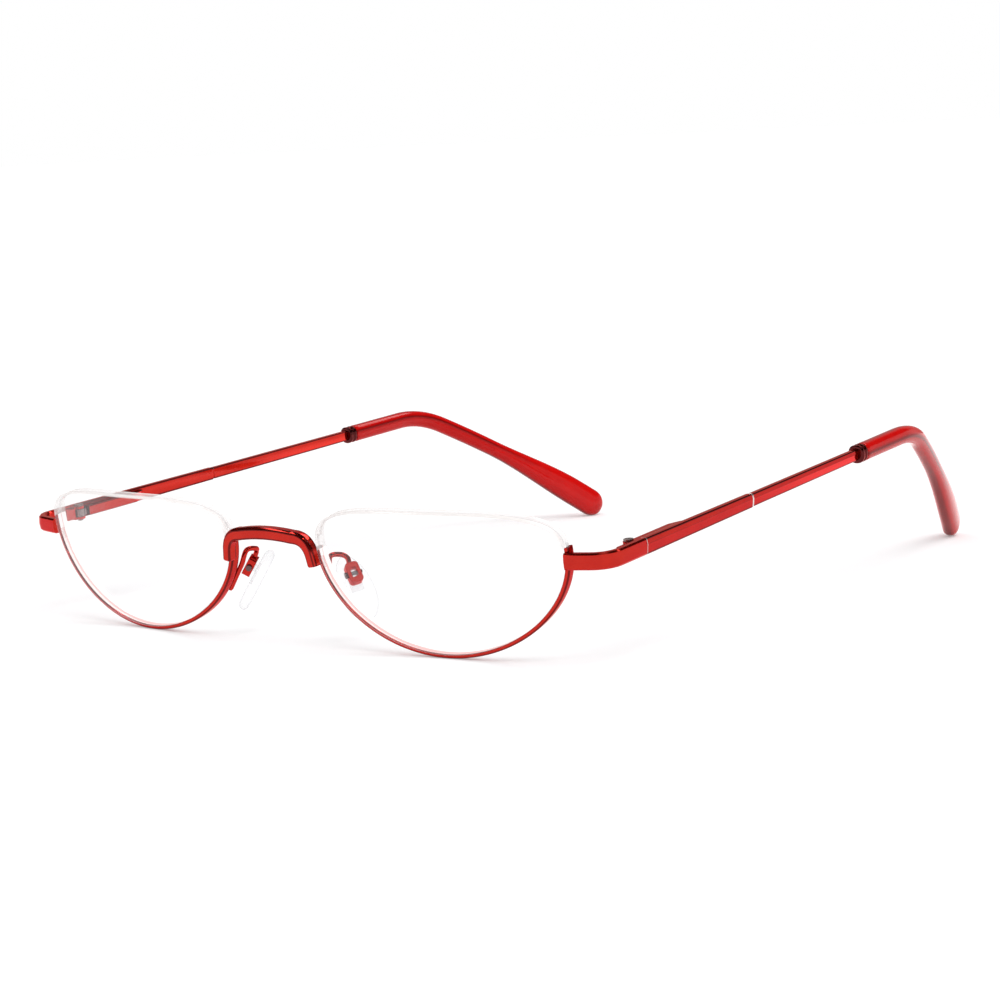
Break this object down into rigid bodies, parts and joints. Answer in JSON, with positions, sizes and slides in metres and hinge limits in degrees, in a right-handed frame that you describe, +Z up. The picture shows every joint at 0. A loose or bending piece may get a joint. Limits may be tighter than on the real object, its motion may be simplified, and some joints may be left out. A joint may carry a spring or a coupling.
{
  "type": "eyeglasses",
  "caption": "Half-moon clear-lens costume glasses with under-rim red metal frame, spring hinges, folding temples and rocking nose pads.",
  "frame": {"origin": "centre of the outline seen from above, on the surface that the open glasses stand on, under rims and temple tips", "axes": "+X towards the wearer's left, -Y the way the wearer looks, +Z up; the glasses stand on both rims and both temple tips"},
  "size_m": [0.135, 0.1572, 0.0278],
  "materials": {
    "red_metal": "glossy translucent red lacquer over bright metal",
    "clear_lens": "clear, polished, with polished edge",
    "nylon": "clear smooth nylon",
    "steel": "bright machined steel",
    "clear_pad": "clear soft silicone, satin",
    "pad_plate": "pale moulded plastic",
    "red_plastic": "clear red glossy acetate",
    "collar": "dark red lacquer"
  },
  "bodies": {
    "front": {"bridge": "red_metal", "rim_left": "red_metal", "rim_right": "red_metal", "lens_left": "clear_lens", "lens_right": "clear_lens", "nylon_cord_left": "nylon", "nylon_cord_right": "nylon", "endpiece_left": "red_metal", "endpiece_right": "red_metal", "hinge_fork_left": "red_metal", "hinge_fork_right": "red_metal", "hinge_screw_left": "steel", "hinge_screw_right": "steel", "pad_arm_left": "red_metal", "pad_arm_right": "red_metal", "pad_box_left": "red_metal", "pad_box_right": "red_metal", "pad_screw_left": "steel", "pad_screw_right": "steel"},
    "slider_left": {"hinge_slider_left": "steel", "spring_stop_left": "steel", "hinge_spring_left": "steel"},
    "temple_left": {"temple_left": "red_metal", "spring_housing_left": "red_metal", "tip_collar_left": "collar", "temple_tip_left": "red_plastic"},
    "pad_left": {"pad_core_left": "pad_plate", "nose_pad_left": "clear_pad"},
    "slider_right": {"hinge_slider_right": "steel", "spring_stop_right": "steel", "hinge_spring_right": "steel"},
    "temple_right": {"temple_right": "red_metal", "spring_housing_right": "red_metal", "tip_collar_right": "collar", "temple_tip_right": "red_plastic"},
    "pad_right": {"pad_core_right": "pad_plate", "nose_pad_right": "clear_pad"}
  },
  "joints": [
    {"name": "left_fold", "type": "hinge", "parent": "front", "child": "slider_left", "pos_m": [0.06464, -0.06068, 0.01843], "axis": [0, -0.0845, 0.9964], "range_deg": [0, 88]},
    {"name": "left_spring_slide", "type": "slide", "parent": "slider_left", "child": "temple_left", "axis": [-0.0558, 0.9949, 0.0844], "range_m": [0, 0.0012], "stiffness_N_per_m": 2500, "deforming": ["hinge_spring_left"]},
    {"name": "left_pad_rock", "type": "hinge", "parent": "front", "child": "pad_left", "pos_m": [0.0122, -0.06917, 0.01249], "axis": [0.4951, 0.8428, 0.2112], "range_deg": [-10, 10]},
    {"name": "right_fold", "type": "hinge", "parent": "front", "child": "slider_right", "pos_m": [-0.06464, -0.06068, 0.01843], "axis": [0, 0.0845, -0.9964], "range_deg": [0, 80]},
    {"name": "right_spring_slide", "type": "slide", "parent": "slider_right", "child": "temple_right", "axis": [0.0558, 0.9949, 0.0844], "range_m": [0, 0.0012], "stiffness_N_per_m": 2500, "deforming": ["hinge_spring_right"]},
    {"name": "right_pad_rock", "type": "hinge", "parent": "front", "child": "pad_right", "pos_m": [-0.0122, -0.06917, 0.01249], "axis": [0.4951, -0.8428, -0.2112], "range_deg": [-10, 10]}
  ]
}
